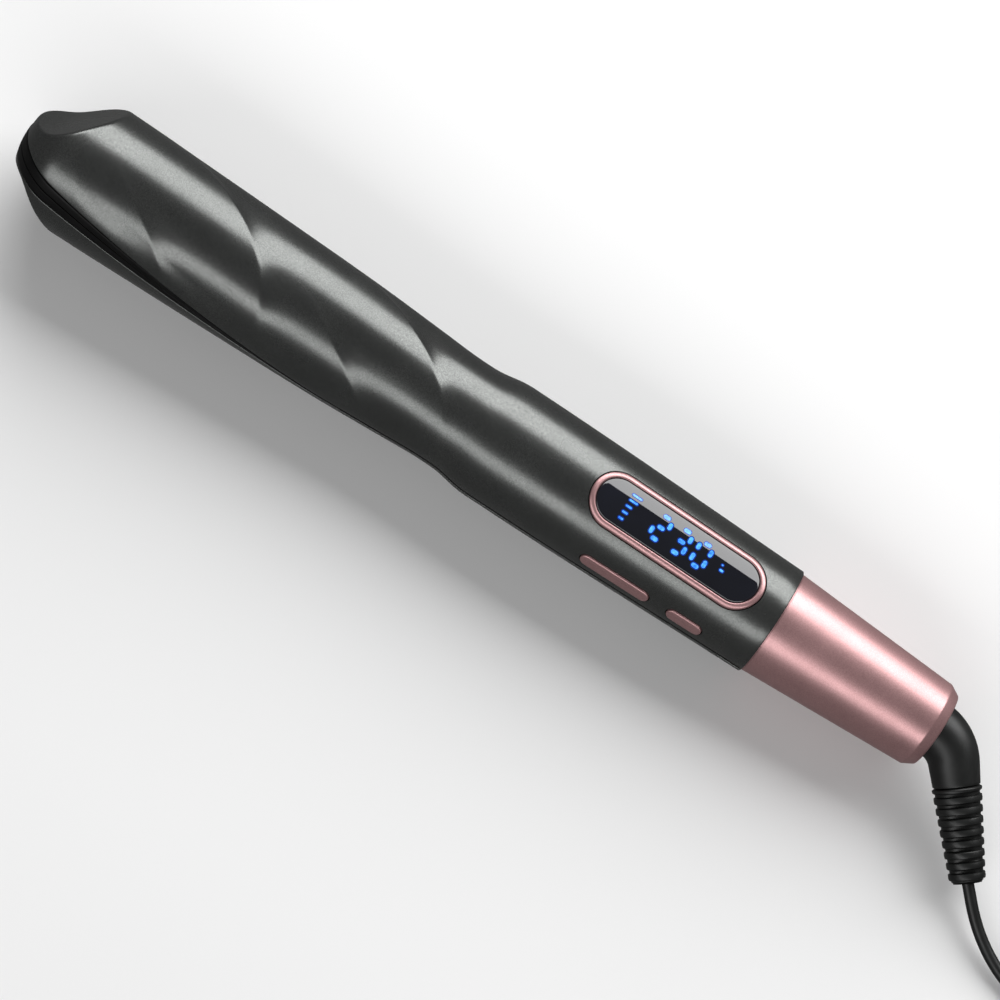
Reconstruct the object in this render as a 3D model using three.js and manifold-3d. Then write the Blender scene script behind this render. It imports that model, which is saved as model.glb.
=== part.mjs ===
// Two-arm hair styler with a twisted barrel, in millimetres, +Z up.
// It lies on its lower arm. The origin is the middle of the small flat under the handle, +X runs to the
// tail, and the buttons are on the -Y side. The tool is drawn along its own axis, where x is the distance
// from the tip. It leans by LEAN, so that the barrel's shoulder and the handle's flat both touch the table.

import * as THREE from 'three';
import { mergeVertices } from 'three/addons/utils/BufferGeometryUtils.js';
import Module from 'manifold-3d';

const wasm = await Module();
wasm.setup();

// ---- driving dimensions --------------------------------------------------------------------------------
const GAP = 0.3; // clearance between neighbouring pieces
const WALL = 1.8; // shell thickness
const ORIGIN = 200; // distance from the tip to the origin, along the tool
const SEAM = 245.6; // where the arms end and the tail cap begins
const TAIL = 300; // rear face of the tail cap
const LEAN = 0.0156; // nose-up lean of the tool's axis, radians
const AXIS_HEIGHT = 16.96; // height of the tool's axis over the origin

const NOSE = 16; // length of the rounded nose
// distance from the tip, radius: barrel, neck between barrel and handle, handle
const BODY_PROFILE = [
  [0, 20], [21, 20], [50, 19.5], [80, 18.8], [105, 18.1], [126, 17],
  [138, 16.35], [145, 16.45], [153, 17.65], [160, 17.75], [SEAM, 16.5],
];
const TWIST = THREE.MathUtils.degToRad(47); // turn of the split between the arms, at the tip
const TWIST_LENGTH = 105;
const TWIST_POWER = 1.3;
const RIM_TIP = 3.1; // height of each arm's black rim at the tip and along the handle
const RIM_HANDLE = 0.7;
const RIM_LENGTH = 88;

// Creases wound round each shell. A crease crosses CREASE_TURN at x = at, and again every so far along.
// Round from there it falls back by slant and curve. Turns and fades are in degrees.
const CREASE_TURN = 43;
const CREASES = [
  { at: 82, every: 59, slant: 0.09, curve: 0.0027, depth: 0.85, fade: [-80, -40] },
  { at: 48.5, every: 62, slant: 0.35, curve: 0.003, depth: 0.5, fade: [-8, 25] },
];

// Finger scoop across the outside of each tip: a flat floor that climbs to the shoulder.
const SCOOP = { turn: THREE.MathUtils.degToRad(55), floor: 6.4, slope: 0.94, start: 7, soft: 1.6 };

const PLATE = { from: 27, to: 118, half: 11.3, thick: 1.95 };
const HEATER = { from: 34, to: 102, half: 6.5, thick: 2.2 };
const CAVITY_FROM = 24.7; // the tips are solid up to here

const DISPLAY = { middle: 210.5, length: 55, width: 16.4, ring: 1.7, proud: 0.35 };
const KEY_TURN = THREE.MathUtils.degToRad(69); // round from the top, towards -Y
const ROCKER = { middle: 202, length: 21.9, width: 4.3 };
const POWER = { middle: 224.5, length: 11.1, width: 4.3 };
const KEY_PROUD = 0.35;
const KEY_DEPTH = 3.5; // below the handle's surface
const KEY_FLANGE = { top: 2.9, margin: 0.45 }; // keeps the key in its slot
const SWITCH = { length: 3.4, y: [-11.2, -10.6], z: [3.4, 6.2] };
const KEY_BOARD = { x: [189, 232], y: [-10.3, -9.3], z: [3, 8] };

const CONTROL_BOARD = { x: [163, 220], half: 9, z: [5, 6.6] };
const SCREW_PLACES = [[168, -6.5], [168, 6.5], [215, -6.5], [215, 6.5]];
const SCREW_HOLE = 1.3;
const SCREW_PROFILE = [[0, 3.2], [1, 3.2], [1, 6.9], [2, 6.9], [1.7, 8], [0, 8]]; // radius, height
const POST_RADIUS = 2.2;

const PIN_RADIUS = 1.5;
const PIN_HEAD = 2.6;
const LUG = { radius: 4.5, inner: 4.6, outer: [5, 8.2], reach: 10 }; // one upper lug between two lower ones
const SPRING = { x: 228, turns: 4.5, radius: 3.2, length: 11, wire: 0.45 };
const CUP = { radius: 6.2, well: 4.9, depth: 6.4, floor: 1.2 };

const LIP = { wall: 0.6, length: 7.8 }; // thin rear skin of each arm, which slides over the cap's spigot
// radius, distance from the tip
const CAP_PROFILE = [
  [13.7, 240.6], [15.5, 240.6], [15.5, SEAM], [15.6, SEAM], [12.95, 296.6], [12.4, 298.6],
  [11.2, 299.7], [9.8, TAIL], [8.4, TAIL], [8.4, 293], [11, 293], [13.7, SEAM + 4], [13.7, 240.6],
];

const NECK_RADIUS = 8;
const NECK_FLANGE = { radius: 10.4, from: -10.1, to: -7.4 }; // turns inside the cap
const NECK_FALL = THREE.MathUtils.degToRad(15); // the neck bends towards -Y and a little down
const NECK_BEND = THREE.MathUtils.degToRad(50);
const NECK_BEND_RADIUS = 13;
const NECK_CORNER = 5; // the bend's corner, behind the cap
const BOOT = { start: 16.9, length: 27.4, front: 7, rear: 5, ribs: 9, groove: 1.1 };

const CORD = 3.6; // diameter
const COIL_MIDDLE = [197.2, -26.9];
const COIL_RINGS = [5, 6, 7]; // in cord diameters
const COIL_LAYERS = 4;
const TIE = 0.5; // thickness of the strap round the coil
const TIE_HALF = 4; // half its width
const TIE_TURN = 2.1;
const FLOOR = CORD / 2;

// From the strain relief down to the table and on to the coil, in the part's frame.
const CORD_ROUTE = [
  [130.25, -29.2, 7.1], [132.6, -31.6, 6.5], [135.6, -34.6, 5.6], [139.6, -38, 4.5],
  [144.6, -41.3, 3.3], [150.6, -44.3, 2.4], [157.4, -46.6, 1.95], [166.5, -48.8, FLOOR], [180, -50.8, FLOOR],
];
// The route's first stretch turns with the neck, up to this gap.
const STUB_POINTS = 3;
const STUB_END = [139.4, -37.8, 4.55];
const RUN_START = [139.9, -38.2, 4.4];
// From the top of the coil, down its outside and up into the plug.
const LEAD_ROUTE = [
  [199.8, -56.1, 13.2], [211.9, -52.3, 11], [221.2, -43.7, 8.5], [226.1, -32, 5.8], [225.9, -20.8, 3.4],
  [223.2, -11.5, 2.2], [219, -3.9, 2.6], [214.2, 1.4, 4.3], [208.8, 4.2, 6.5],
];
const PLUG = { entry: [208, 4.5, 6.85], heading: THREE.MathUtils.degToRad(160) };
const PLUG_BODY = { relief: 12, length: 35.3, width: 26, height: 13.7 };
const PLUG_PIN = { length: 19, radius: 2, point: 1.2, spacing: 18.6 };

// ---- materials ------------------------------------------------------------------------------------------
function finish(color, roughness, metalness) {
  return new THREE.MeshStandardMaterial({ color, roughness, metalness });
}

const graphite = () => finish(0x4b4d4c, 0.38, 0.7);
const blackPlastic = () => finish(0x141414, 0.5, 0);
const roseGold = () => finish(0xc48f90, 0.32, 0.85);
const ceramic = () => finish(0x2a2624, 0.25, 0.3);
const steel = () => finish(0xb9bcc0, 0.3, 1);
const aluminium = () => finish(0xa4a7aa, 0.45, 0.9);
const circuitBoard = () => finish(0x1f5a34, 0.55, 0);
const mica = () => finish(0xcfc4a8, 0.8, 0);
const glossBlack = () => finish(0x05060a, 0.06, 0);
const rubber = () => finish(0x1a1b1b, 0.6, 0);

// ---- solids ---------------------------------------------------------------------------------------------
function toSolid(geometry) {
  const bare = geometry.clone();
  bare.deleteAttribute('normal');
  bare.deleteAttribute('uv');
  const merged = mergeVertices(bare, 1e-4);
  return new wasm.Manifold(new wasm.Mesh({
    numProp: 3,
    vertProperties: new Float32Array(merged.attributes.position.array),
    triVerts: new Uint32Array(merged.index.array),
  }));
}

function toGeometry(solid) {
  const mesh = solid.getMesh();
  const geometry = new THREE.BufferGeometry();
  geometry.setAttribute('position', new THREE.BufferAttribute(new Float32Array(mesh.vertProperties), 3));
  geometry.setIndex(new THREE.BufferAttribute(new Uint32Array(mesh.triVerts), 1));
  geometry.computeVertexNormals();
  return geometry;
}

function cut(geometry, ...tools) {
  return toGeometry(tools.reduce((solid, tool) => solid.subtract(toSolid(tool)), toSolid(geometry)));
}

function join(geometry, ...others) {
  return toGeometry(others.reduce((solid, other) => solid.add(toSolid(other)), toSolid(geometry)));
}

function common(geometry, other) {
  return toGeometry(toSolid(geometry).intersect(toSolid(other)));
}

// A closed skin over rings of matching points; outline is the flat shape that closes both ends.
function loft(rings, outline) {
  const count = rings[0].length;
  const last = (rings.length - 1) * count;
  const positions = rings.flat().flatMap((point) => point.toArray());
  const outlineArea = THREE.ShapeUtils.area(outline);
  const index = [];
  for (const face of THREE.ShapeUtils.triangulateShape(outline, [])) {
    const same = THREE.ShapeUtils.area(face.map((i) => outline[i])) * outlineArea > 0;
    const [a, b, c] = same ? face : [face[0], face[2], face[1]];
    index.push(c, b, a);
    index.push(last + a, last + b, last + c);
  }
  for (let ring = 0; ring < rings.length - 1; ring += 1) {
    for (let i = 0; i < count; i += 1) {
      const a = ring * count + i;
      const b = ring * count + ((i + 1) % count);
      index.push(a, b, b + count);
      index.push(a, b + count, a + count);
    }
  }
  let volume = 0;
  const corner = (i) => new THREE.Vector3().fromArray(positions, 3 * i);
  for (let i = 0; i < index.length; i += 3) {
    volume += corner(index[i]).dot(corner(index[i + 1]).cross(corner(index[i + 2])));
  }
  const geometry = new THREE.BufferGeometry();
  geometry.setAttribute('position', new THREE.Float32BufferAttribute(positions, 3));
  geometry.setIndex(volume > 0 ? index : index.reverse());
  geometry.computeVertexNormals();
  return geometry;
}

function box(x0, x1, y0, y1, z0, z1) {
  const geometry = new THREE.BoxGeometry(x1 - x0, y1 - y0, z1 - z0);
  return geometry.translate((x0 + x1) / 2, (y0 + y1) / 2, (z0 + z1) / 2);
}

// A capsule lying along X, extruded upwards.
function capsule(middle, length, width, z0, z1) {
  const r = width / 2;
  const reach = length / 2 - r;
  const shape = new THREE.Shape();
  shape.moveTo(-reach, -r);
  shape.lineTo(reach, -r);
  shape.absarc(reach, 0, r, -Math.PI / 2, Math.PI / 2);
  shape.lineTo(-reach, r);
  shape.absarc(-reach, 0, r, Math.PI / 2, (3 * Math.PI) / 2);
  const settings = { depth: z1 - z0, bevelEnabled: false, curveSegments: 6 };
  return new THREE.ExtrudeGeometry(shape, settings).translate(middle, 0, z0);
}

function rod(radius, from, to, x, z, sides = 16) {
  const geometry = new THREE.CylinderGeometry(radius, radius, to - from, sides);
  return geometry.translate(x, (from + to) / 2, z);
}

// Turns (radius, height) pairs about the Y axis.
function lathe(profile, sides) {
  return new THREE.LatheGeometry(profile.map(([r, y]) => new THREE.Vector2(r, y)), sides);
}

function upright(radius, x, y, z0, z1, sides = 10) {
  const geometry = new THREE.CylinderGeometry(radius, radius, z1 - z0, sides).rotateX(Math.PI / 2);
  return geometry.translate(x, y, (z0 + z1) / 2);
}

// ---- the form shared by both arms -----------------------------------------------------------------------
function profileRadius(x) {
  const p = BODY_PROFILE;
  const slope = (i) => (p[i + 1][1] - p[i][1]) / (p[i + 1][0] - p[i][0]);
  let i = 0;
  while (i < p.length - 2 && x > p[i + 1][0]) i += 1;
  const width = p[i + 1][0] - p[i][0];
  const t = (x - p[i][0]) / width;
  const before = i > 0 ? (slope(i - 1) + slope(i)) / 2 : slope(i);
  const after = i < p.length - 2 ? (slope(i) + slope(i + 1)) / 2 : slope(i);
  const rise = p[i + 1][1] - p[i][1];
  return p[i][1] + t * t * (3 - 2 * t) * rise
    + width * (t * (1 - t) * (1 - t) * before - t * t * (1 - t) * after);
}

function bodyRadius(x) {
  const nose = x < NOSE ? Math.sqrt(1 - (1 - x / NOSE) ** 2) : 1;
  return profileRadius(x) * nose;
}

function splitTwist(x) {
  return x < TWIST_LENGTH ? TWIST * (1 - x / TWIST_LENGTH) ** TWIST_POWER : 0;
}

function rimHeight(x) {
  return x < RIM_LENGTH ? RIM_HANDLE + (RIM_TIP - RIM_HANDLE) * (1 - x / RIM_LENGTH) : RIM_HANDLE;
}

// How far the creases lie below the round body, at an angle from the middle of the arm's back.
function creaseDepth(side, x, angle) {
  const { radToDeg, smoothstep } = THREE.MathUtils;
  const turn = radToDeg(side * angle - splitTwist(x));
  const below = CREASE_TURN - turn;
  const along = smoothstep(x, 16, 40) * (1 - smoothstep(x, 128, 146));
  const across = 1 - smoothstep(Math.abs(radToDeg(angle)), 62, 86);
  const depths = CREASES.map(({ at, every, slant, curve, depth, fade }) => {
    const behind = slant * below + curve * Math.max(0, below) ** 2;
    const phase = (x + behind - at) / every;
    const s = phase - Math.floor(phase);
    return depth * 6.75 * s * (1 - s) ** 2 * smoothstep(turn, ...fade);
  });
  return along * across * (depths[0] + depths[1]);
}

// side is +1 for the upper arm and -1 for the lower. out is measured from the split between the arms,
// and across along it, towards the buttons on both arms.
function armPoint(side, x, across, out) {
  const twist = splitTwist(x);
  const height = side * out;
  const y = height * Math.sin(twist) - across * Math.cos(twist);
  const z = height * Math.cos(twist) + across * Math.sin(twist);
  return new THREE.Vector3(x - ORIGIN, y, z);
}

function armLoft(side, stations, outlineAt) {
  const outlines = stations.map((x) => outlineAt(x));
  const rings = stations.map((x, i) => outlines[i].map((p) => armPoint(side, x, p.x, p.y)));
  return loft(rings, outlines[0]);
}

// Half-round outline with its flat at height base.
function halfRound(side, x, inset, base, points, creased) {
  const round = bodyRadius(x) - inset;
  const edge = Math.acos(Math.min(0.98, base / round));
  return Array.from({ length: points + 1 }, (_, i) => {
    const angle = edge * ((2 * i) / points - 1);
    const r = creased ? round - creaseDepth(side, x, angle) : round;
    return new THREE.Vector2(r * Math.sin(angle), r * Math.cos(angle));
  });
}

function evenly(from, to, steps) {
  return Array.from({ length: steps + 1 }, (_, i) => from + ((to - from) * i) / steps);
}

function armBar(side, from, to, half, low, high, steps) {
  return armLoft(side, evenly(from, to, steps), () => [
    new THREE.Vector2(-half, low),
    new THREE.Vector2(half, low),
    new THREE.Vector2(half, high),
    new THREE.Vector2(-half, high),
  ]);
}

const NOSE_STATIONS = [2.5, 5.5, 9.5, 14, 21];
const BODY_STATIONS = [...evenly(26, 134, 15), 140, 145, 149, 153, 157];

function scoopFloor(x) {
  const { floor, slope, start, soft } = SCOOP;
  return floor + slope * soft * Math.log(1 + Math.exp((x - start) / soft));
}

function scoop(side) {
  const floor = evenly(-2, 24, 26).map((x) => new THREE.Vector2(x - ORIGIN, scoopFloor(x)));
  const above = [new THREE.Vector2(24 - ORIGIN, 30), new THREE.Vector2(-2 - ORIGIN, 30)];
  const shape = new THREE.Shape([...floor, ...above]);
  const turn = (side > 0 ? 0 : Math.PI) - SCOOP.turn;
  return new THREE.ExtrudeGeometry(shape, { depth: 60, bevelEnabled: false })
    .translate(0, 0, -30)
    .rotateX(Math.PI / 2 + turn);
}

function tableCut() {
  const slab = new THREE.BoxGeometry(400, 80, 20).translate(0, 0, -10);
  return slab.translate(0, 0, -AXIS_HEIGHT).rotateY(-LEAN);
}

function shellBody(side) {
  const base = (x) => rimHeight(x) + GAP;
  const stations = [0.8, ...NOSE_STATIONS, ...BODY_STATIONS, SEAM - GAP];
  const outer = armLoft(side, stations, (x) => halfRound(side, x, 0, base(x), 16, true));
  const inner = [CAVITY_FROM, ...evenly(36, 134, 8), 145, 157, SEAM - LIP.length + 0.2];
  const cavity = armLoft(side, inner, (x) => halfRound(side, x, WALL, -1, 10, false));
  const lipEnds = [SEAM - LIP.length, SEAM + 2];
  const lip = armLoft(side, lipEnds, () => halfRound(side, SEAM, LIP.wall, -1, 20, false));
  return cut(outer, cavity, lip, scoop(side));
}

// ---- arm parts --------------------------------------------------------------------------------------------
function keySlot(shape) {
  const r = bodyRadius(shape.middle);
  const slot = capsule(shape.middle - ORIGIN, shape.length + 2 * GAP, shape.width + 2 * GAP, r - 6, r + 4);
  return slot.rotateX(KEY_TURN);
}

function upperShell() {
  const window = capsule(DISPLAY.middle - ORIGIN, DISPLAY.length + 2 * GAP, DISPLAY.width + 2 * GAP, 8, 25);
  return cut(shellBody(1), window, keySlot(ROCKER), keySlot(POWER));
}

function lowerShell() {
  return cut(shellBody(-1), tableCut());
}

// The black inner frame: the rim that shows between the shells, and a tray behind it.
function frameBody(side) {
  const stations = [0.3, ...NOSE_STATIONS, ...BODY_STATIONS, SEAM - 8];
  const rim = armLoft(side, stations, (x) => {
    const reach = (out) => Math.sqrt((0.985 * bodyRadius(x)) ** 2 - out * out);
    const top = Math.min(rimHeight(x), 0.8 * bodyRadius(x));
    return [
      new THREE.Vector2(-reach(GAP / 2), GAP / 2),
      new THREE.Vector2(reach(GAP / 2), GAP / 2),
      new THREE.Vector2(reach(top), top),
      new THREE.Vector2(-reach(top), top),
    ];
  });
  const barrelTray = armBar(side, CAVITY_FROM + GAP, 125, 13, 0.5, 5.2, 18);
  const handleTray = armBar(side, 124, SEAM - 8, 10, 0.5, 2.6, 1);
  const bedTop = PLATE.thick + 1.5 * GAP;
  const plateBed = armBar(side, PLATE.from - GAP, PLATE.to + GAP, PLATE.half + GAP, -1, bedTop, 18);
  const heaterBed = armBar(side, HEATER.from - GAP, HEATER.to + 8, HEATER.half + GAP, 0.8, 8, 16);
  return cut(join(rim, barrelTray, handleTray), plateBed, heaterBed);
}

function springCup(side) {
  const ends = [side, side * (CUP.depth + CUP.floor)];
  const cup = upright(CUP.radius, SPRING.x - ORIGIN, 0, Math.min(...ends), Math.max(...ends), 16);
  const well = upright(CUP.well, SPRING.x - ORIGIN, 0, -CUP.depth, CUP.depth, 16);
  return { cup, well };
}

function pinHole() {
  return rod(PIN_RADIUS + GAP, -10, 10, SEAM - ORIGIN, 0);
}

function upperFrame() {
  const pivot = SEAM - ORIGIN;
  const { radius, inner, reach } = LUG;
  const lug = rod(radius, -inner, inner, pivot, 0);
  const root = box(pivot - reach, pivot, -inner, inner, GAP / 2, radius);
  const { cup, well } = springCup(1);
  const top = CONTROL_BOARD.z[0] - GAP;
  const posts = SCREW_PLACES.map(([x, y]) => upright(POST_RADIUS, x - ORIGIN, y, 2, top));
  const bores = SCREW_PLACES.map(([x, y]) => upright(SCREW_HOLE, x - ORIGIN, y, 1, top + 1));
  return cut(join(frameBody(1), lug, root, cup, ...posts), well, ...bores, pinHole());
}

function lowerFrame() {
  const pivot = SEAM - ORIGIN;
  const { radius, outer, reach } = LUG;
  const lugs = [[-outer[1], -outer[0]], outer].flatMap(([a, b]) => [
    rod(radius, a, b, pivot, 0),
    box(pivot - reach, pivot, a, b, -radius, -GAP / 2),
  ]);
  const { cup, well } = springCup(-1);
  return cut(join(frameBody(-1), ...lugs, cup), well, pinHole());
}

function plate(side) {
  return armBar(side, PLATE.from, PLATE.to, PLATE.half, GAP / 2, PLATE.thick + GAP / 2, 18);
}

function heater(side) {
  return armBar(side, HEATER.from, HEATER.to, HEATER.half, 2.6, 2.6 + HEATER.thick, 16);
}

function heatShield(side) {
  return armBar(side, HEATER.from, HEATER.to, HEATER.half, 5.1, 6.1, 16);
}

function thermistor(side) {
  return armBar(side, HEATER.to + 1, HEATER.to + 7, 2, 2.6, 4.6, 1);
}

// ---- display and buttons ----------------------------------------------------------------------------------
function handleSkin(outside, inside) {
  const ends = [DISPLAY.middle - 30, DISPLAY.middle + 30];
  const outer = armLoft(1, ends, (x) => halfRound(1, x, -outside, 5, 18, false));
  const inner = armLoft(1, [ends[0] - 1, ends[1] + 1], (x) => halfRound(1, x, inside, -1, 18, false));
  return cut(outer, inner);
}

function displayBezel() {
  const { middle, length, width, ring, proud } = DISPLAY;
  const outer = capsule(middle - ORIGIN, length, width, 8, 25);
  const inner = capsule(middle - ORIGIN, length - 2 * ring, width - 2 * ring, 7, 26);
  return common(cut(outer, inner), handleSkin(proud, 1.6));
}

function displayLens() {
  const { middle, length, width, ring } = DISPLAY;
  const inset = 2 * (ring + GAP / 2);
  return common(capsule(middle - ORIGIN, length - inset, width - inset, 8, 25), handleSkin(0.05, 1.3));
}

function controlBoard() {
  const { x, half, z } = CONTROL_BOARD;
  const board = box(x[0] - ORIGIN, x[1] - ORIGIN, -half, half, ...z);
  return cut(board, ...SCREW_PLACES.map((place) => upright(SCREW_HOLE, place[0] - ORIGIN, place[1], 4, 8)));
}

function boardScrew([x, y]) {
  return lathe(SCREW_PROFILE, 12).rotateX(Math.PI / 2).translate(x - ORIGIN, y, 0);
}

function key(shape) {
  const r = bodyRadius(shape.middle);
  const middle = shape.middle - ORIGIN;
  const grow = 2 * KEY_FLANGE.margin;
  const cap = capsule(middle, shape.length, shape.width, r - KEY_DEPTH, r + KEY_PROUD);
  const flange = capsule(middle, shape.length + grow, shape.width + grow, r - KEY_DEPTH, r - KEY_FLANGE.top);
  return join(cap, flange).rotateX(KEY_TURN);
}

function keyBoard() {
  const { x, y, z } = KEY_BOARD;
  return box(x[0] - ORIGIN, x[1] - ORIGIN, ...y, ...z);
}

function keySwitch(x) {
  const half = SWITCH.length / 2;
  return box(x - half - ORIGIN, x + half - ORIGIN, ...SWITCH.y, ...SWITCH.z);
}

// ---- tail, neck and cord ----------------------------------------------------------------------------------
function tailCap() {
  return lathe(CAP_PROFILE, 36).rotateZ(-Math.PI / 2).translate(-ORIGIN, 0, 0);
}

function hingePin() {
  const head = [[0, -9.2], [PIN_HEAD, -9.2], [PIN_HEAD, -8.5]];
  return lathe([...head, [PIN_RADIUS, -8.5], [PIN_RADIUS, 9], [0, 9]], 16).translate(SEAM - ORIGIN, 0, 0);
}

class Helix extends THREE.Curve {
  getPoint(t, target = new THREE.Vector3()) {
    const { x, turns, radius, length } = SPRING;
    const angle = t * turns * 2 * Math.PI;
    return target.set(x - ORIGIN + radius * Math.cos(angle), radius * Math.sin(angle), length * (t - 0.5));
  }
}

function roundWire(curve, radius, sides, steps) {
  const shape = new THREE.Shape();
  for (let i = 0; i < sides; i += 1) {
    const angle = (2 * Math.PI * i) / sides;
    if (i === 0) shape.moveTo(radius, 0);
    else shape.lineTo(radius * Math.cos(angle), radius * Math.sin(angle));
  }
  return new THREE.ExtrudeGeometry(shape, { steps, bevelEnabled: false, extrudePath: curve });
}

// Round sections along the neck's centre line, in the plane that it bends in.
function neckSweep(stations, sides) {
  const tangent = NECK_BEND_RADIUS * Math.tan(NECK_BEND / 2);
  const bendStart = NECK_CORNER - tangent;
  const arc = NECK_BEND_RADIUS * NECK_BEND;
  const sideways = new THREE.Vector3(0, -Math.cos(NECK_FALL), -Math.sin(NECK_FALL));
  const upward = new THREE.Vector3(1, 0, 0).cross(sideways);
  const rings = stations.map(([along, radius]) => {
    const turn = THREE.MathUtils.clamp((along - bendStart) / NECK_BEND_RADIUS, 0, NECK_BEND);
    const past = Math.max(0, along - bendStart - arc);
    const x = Math.min(along, bendStart) + NECK_BEND_RADIUS * Math.sin(turn) + past * Math.cos(turn);
    const away = NECK_BEND_RADIUS * (1 - Math.cos(turn)) + past * Math.sin(turn);
    const centre = new THREE.Vector3(TAIL - ORIGIN + x, 0, 0).addScaledVector(sideways, away);
    const normal = new THREE.Vector3(-Math.sin(turn), 0, 0).addScaledVector(sideways, Math.cos(turn));
    return Array.from({ length: sides }, (_, i) => {
      const angle = (2 * Math.PI * i) / sides;
      const offset = normal.clone().multiplyScalar(radius * Math.cos(angle));
      return centre.clone().add(offset).addScaledVector(upward, radius * Math.sin(angle));
    });
  });
  const outline = Array.from({ length: sides }, (_, i) => {
    const angle = (2 * Math.PI * i) / sides;
    return new THREE.Vector2(Math.cos(angle), Math.sin(angle));
  });
  return loft(rings, outline);
}

function swivelNeck() {
  const { radius, from, to } = NECK_FLANGE;
  const stations = [[from, radius], [to, radius], [to + 0.1, NECK_RADIUS], [-1, NECK_RADIUS]];
  for (const along of evenly(1, BOOT.start, 6)) stations.push([along, NECK_RADIUS - 0.08 * along]);
  return neckSweep(stations, 18);
}

function strainRelief() {
  const stations = [];
  const pitch = BOOT.length / BOOT.ribs;
  for (let rib = 0; rib < BOOT.ribs; rib += 1) {
    const start = BOOT.start + GAP + rib * pitch;
    const radius = THREE.MathUtils.lerp(BOOT.front, BOOT.rear, rib / (BOOT.ribs - 1));
    const groove = [start + 0.8 * pitch, radius - BOOT.groove];
    stations.push([start, radius], [start + 0.6 * pitch, radius], groove);
  }
  return neckSweep(stations.slice(0, -1), 12);
}

function cordTube(points) {
  const route = new THREE.CatmullRomCurve3(points.map((p) => new THREE.Vector3(...p)));
  const steps = Math.ceil(route.getLength() / (2 * CORD));
  return roundWire(route, 0.98 * (CORD / 2), 8, steps);
}

function coilLimits() {
  return {
    inner: (COIL_RINGS[0] - 0.55) * CORD,
    outer: (COIL_RINGS[COIL_RINGS.length - 1] + 0.55) * CORD,
    low: TIE + GAP,
    high: TIE + GAP + COIL_LAYERS * CORD,
  };
}

function cordCoil() {
  const { inner, outer, low, high } = coilLimits();
  const outline = [[inner, low], [outer, low], [outer, high], [inner, high], [inner, low]];
  return lathe(outline, 28).rotateX(Math.PI / 2).translate(...COIL_MIDDLE, 0);
}

function cordTie() {
  const { inner, outer, high } = coilLimits();
  const near = Math.sqrt(inner ** 2 - TIE_HALF ** 2) - GAP;
  const far = outer + GAP;
  const top = high + GAP;
  const band = box(near - TIE, far + TIE, -TIE_HALF, TIE_HALF, 0, top + TIE);
  const hole = box(near, far, -TIE_HALF - 1, TIE_HALF + 1, TIE, top);
  return cut(band, hole).rotateZ(TIE_TURN).translate(...COIL_MIDDLE, 0);
}

function placePlug(geometry) {
  return geometry.rotateZ(PLUG.heading).translate(...PLUG.entry);
}

function plugBody() {
  const { relief, length, width, height } = PLUG_BODY;
  const section = (half, tall) => Array.from({ length: 16 }, (_, i) => {
    const angle = (2 * Math.PI * i) / 16;
    const square = (value) => Math.sign(value) * Math.abs(value) ** 0.5;
    return new THREE.Vector2(half * square(Math.cos(angle)), (tall / 2) * square(Math.sin(angle)));
  });
  const stations = [
    [0.3, 2.9, 5.8], [relief, 4.6, 8], [relief + 2, 7, 10], [relief + 9, width / 2 - 1.5, height - 0.6],
    [relief + 16, width / 2, height], [relief + length, width / 2, height],
  ];
  const ring = ([x, half, tall]) => section(half, tall).map((p) => new THREE.Vector3(x, p.x, p.y));
  return placePlug(loft(stations.map(ring), section(width / 2, height)));
}

function plugPin(side) {
  const { length, radius, point, spacing } = PLUG_PIN;
  const start = PLUG_BODY.relief + PLUG_BODY.length + GAP;
  const pin = lathe([[0, 0], [radius, 0], [radius, length - 1.6], [point, length], [0, length]], 12);
  return placePlug(pin.rotateZ(-Math.PI / 2).translate(start, (side * spacing) / 2, 0));
}

// ---- assembly ---------------------------------------------------------------------------------------------
const styler = new THREE.Group();
const tool = new THREE.Group();
tool.position.z = AXIS_HEIGHT;
tool.rotation.y = LEAN;
styler.add(tool);

function add(parent, name, geometry, material) {
  const mesh = new THREE.Mesh(geometry, material);
  mesh.name = name;
  parent.add(mesh);
}

add(tool, 'upper_shell', upperShell(), graphite());
add(tool, 'lower_shell', lowerShell(), graphite());
add(tool, 'upper_frame', upperFrame(), blackPlastic());
add(tool, 'lower_frame', lowerFrame(), blackPlastic());
for (const [side, arm] of [[1, 'upper'], [-1, 'lower']]) {
  add(tool, `${arm}_plate`, plate(side), ceramic());
  add(tool, `${arm}_heater`, heater(side), aluminium());
  add(tool, `${arm}_heat_shield`, heatShield(side), mica());
  add(tool, `${arm}_thermistor`, thermistor(side), mica());
}
add(tool, 'display_bezel', displayBezel(), roseGold());
add(tool, 'display_lens', displayLens(), glossBlack());
add(tool, 'display_module', box(186 - ORIGIN, 235 - ORIGIN, -5.2, 5.2, 8.6, 13.2), blackPlastic());
add(tool, 'control_board', controlBoard(), circuitBoard());
SCREW_PLACES.forEach((place, i) => add(tool, `board_screw_${i + 1}`, boardScrew(place), steel()));
add(tool, 'key_board', keyBoard(), circuitBoard());
add(tool, 'temperature_up_switch', keySwitch(ROCKER.middle - 7), blackPlastic());
add(tool, 'temperature_down_switch', keySwitch(ROCKER.middle + 7), blackPlastic());
add(tool, 'power_switch', keySwitch(POWER.middle), blackPlastic());
add(tool, 'temperature_rocker', key(ROCKER), roseGold());
add(tool, 'power_button', key(POWER), roseGold());
add(tool, 'tail_cap', tailCap(), roseGold());
add(tool, 'hinge_pin', hingePin(), steel());
add(tool, 'opening_spring', roundWire(new Helix(), SPRING.wire, 5, 45), steel());
add(tool, 'swivel_neck', swivelNeck(), blackPlastic());
add(tool, 'strain_relief', strainRelief(), rubber());

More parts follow.
